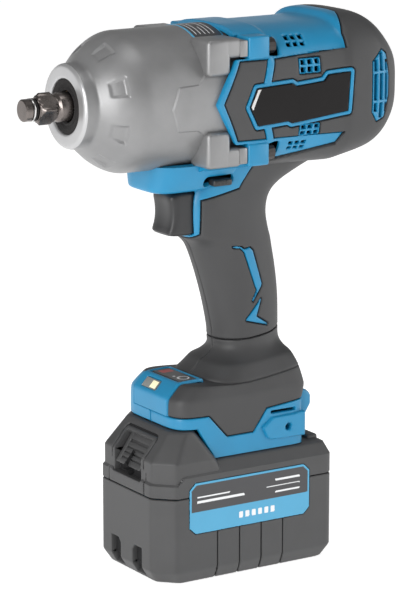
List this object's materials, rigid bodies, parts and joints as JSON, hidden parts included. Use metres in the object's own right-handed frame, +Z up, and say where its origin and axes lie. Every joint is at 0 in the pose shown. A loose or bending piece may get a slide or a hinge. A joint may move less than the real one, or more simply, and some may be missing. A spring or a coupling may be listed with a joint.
{
  "type": "cordless impact wrench",
  "caption": "Pistol-grip cordless impact wrench: cast nose with a square drive, ribbed barrel, rubber grip with trigger, wide foot and a slide-on battery block.",
  "frame": {"origin": "middle of the battery's flat underside, which the tool stands on", "axes": "+Z up through the grip to the barrel, -X out of the nose along the drive line, +Y towards the tool's right side"},
  "size_m": [0.222, 0.0866, 0.308],
  "materials": {
    "blue_nylon": "satin",
    "rubber": "matte",
    "cast_case": "satin",
    "steel": "polished",
    "dark_steel": "blackened",
    "bronze": "satin",
    "copper": "satin",
    "black_plastic": "satin",
    "battery_plastic": "textured",
    "board": "gloss",
    "felt": "matte",
    "label": "gloss",
    "cell_wrap": "gloss",
    "lens": "gloss"
  },
  "bodies": {
    "housing": {"anvil_bushing": "bronze", "anvil_washer": "steel", "case_screw_left_bottom": "dark_steel", "case_screw_left_top": "dark_steel", "case_screw_right_bottom": "dark_steel", "case_screw_right_top": "dark_steel", "control_panel": "blue_nylon", "front_motor_bearing": "steel", "gearbox_plate": "black_plastic", "grip_overmold_left": "rubber", "grip_overmold_right": "rubber", "hammer_case": "cast_case", "housing_left": "blue_nylon", "housing_right": "blue_nylon", "housing_screw_foot": "dark_steel", "housing_screw_grip_bottom": "dark_steel", "housing_screw_grip_top": "dark_steel", "housing_screw_rear_bottom": "dark_steel", "housing_screw_rear_top": "dark_steel", "motor_controller": "board", "nameplate_left": "label", "nameplate_right": "label", "nose_seal": "felt", "rear_motor_bearing": "steel", "ring_gear": "steel", "sensor_board": "board", "spindle_bearing": "steel", "stator_core": "dark_steel", "stator_winding": "copper", "terminal_block": "black_plastic", "trigger_switch": "black_plastic", "work_light_lens": "lens"},
    "spindle": {"cam_spindle": "steel", "cam_ball_1": "steel", "cam_ball_2": "steel", "spring_seat": "steel"},
    "hammer_body": {"hammer": "dark_steel", "hammer_spring": "steel"},
    "planet_1": {"planet_gear_1": "steel"},
    "planet_2": {"planet_gear_2": "steel"},
    "planet_3": {"planet_gear_3": "steel"},
    "anvil_body": {"anvil": "steel", "socket_ring": "steel", "ring_cushion": "felt"},
    "rotor": {"rotor_shaft": "steel", "rotor_core": "dark_steel", "sun_pinion": "steel", "cooling_fan": "black_plastic"},
    "trigger_body": {"trigger": "black_plastic"},
    "lever_body": {"direction_lever": "black_plastic"},
    "button_body": {"mode_button": "black_plastic"},
    "battery": {"battery_case_lower": "battery_plastic", "battery_case_upper": "battery_plastic", "battery_label_left": "label", "battery_label_right": "label", "battery_cells": "cell_wrap", "battery_board": "board", "latch_spring": "steel"},
    "latch_body": {"battery_latch": "black_plastic"}
  },
  "joints": [
    {"name": "spindle_spin", "type": "hinge", "parent": "housing", "child": "spindle", "pos_m": [-0.031, 0, 0.2653], "axis": [1, 0, 0], "continuous": true},
    {"name": "hammer_slide", "type": "slide", "parent": "spindle", "child": "hammer_body", "axis": [1, 0, 0], "range_m": [0, 0.0085], "stiffness_N_per_m": 6000, "springref_m": -0.004, "deforming": ["hammer_spring"]},
    {"name": "planet_1_spin", "type": "hinge", "parent": "spindle", "child": "planet_1", "pos_m": [-0.0237, 0, 0.28405], "axis": [1, 0, 0], "continuous": true},
    {"name": "planet_2_spin", "type": "hinge", "parent": "spindle", "child": "planet_2", "pos_m": [-0.0237, -0.01624, 0.25593], "axis": [1, 0, 0], "continuous": true},
    {"name": "planet_3_spin", "type": "hinge", "parent": "spindle", "child": "planet_3", "pos_m": [-0.0237, 0.01624, 0.25593], "axis": [1, 0, 0], "continuous": true},
    {"name": "anvil_spin", "type": "hinge", "parent": "housing", "child": "anvil_body", "pos_m": [-0.09, 0, 0.2653], "axis": [1, 0, 0], "continuous": true},
    {"name": "rotor_spin", "type": "hinge", "parent": "housing", "child": "rotor", "pos_m": [0.038, 0, 0.2653], "axis": [1, 0, 0], "continuous": true},
    {"name": "trigger_slide", "type": "slide", "parent": "housing", "child": "trigger_body", "axis": [1, 0, 0], "range_m": [0, 0.0075], "stiffness_N_per_m": 800, "springref_m": -0.004},
    {"name": "direction_lever", "type": "hinge", "parent": "housing", "child": "lever_body", "pos_m": [-0.0091, 0, 0.2197], "axis": [0, 0, 1], "range_deg": [-7, 7]},
    {"name": "mode_button_press", "type": "slide", "parent": "housing", "child": "button_body", "axis": [0, 0, -1], "range_m": [0, 0.0008], "stiffness_N_per_m": 2500, "springref_m": -0.0006},
    {"name": "battery_slide", "type": "slide", "parent": "housing", "child": "battery", "axis": [-1, 0, 0], "range_m": [0, 0.1]},
    {"name": "latch_press", "type": "slide", "parent": "battery", "child": "latch_body", "axis": [0, 0, -1], "range_m": [0, 0.004], "stiffness_N_per_m": 1500, "springref_m": -0.003, "deforming": ["latch_spring"]}
  ],
  "couplings": [
    {"joint": "planet_1_spin", "follows": "spindle_spin", "ratio": -2.6667},
    {"joint": "planet_2_spin", "follows": "spindle_spin", "ratio": -2.6667},
    {"joint": "planet_3_spin", "follows": "spindle_spin", "ratio": -2.6667},
    {"joint": "rotor_spin", "follows": "spindle_spin", "ratio": 5},
    {"joint": "anvil_spin", "follows": "spindle_spin", "ratio": 1}
  ]
}
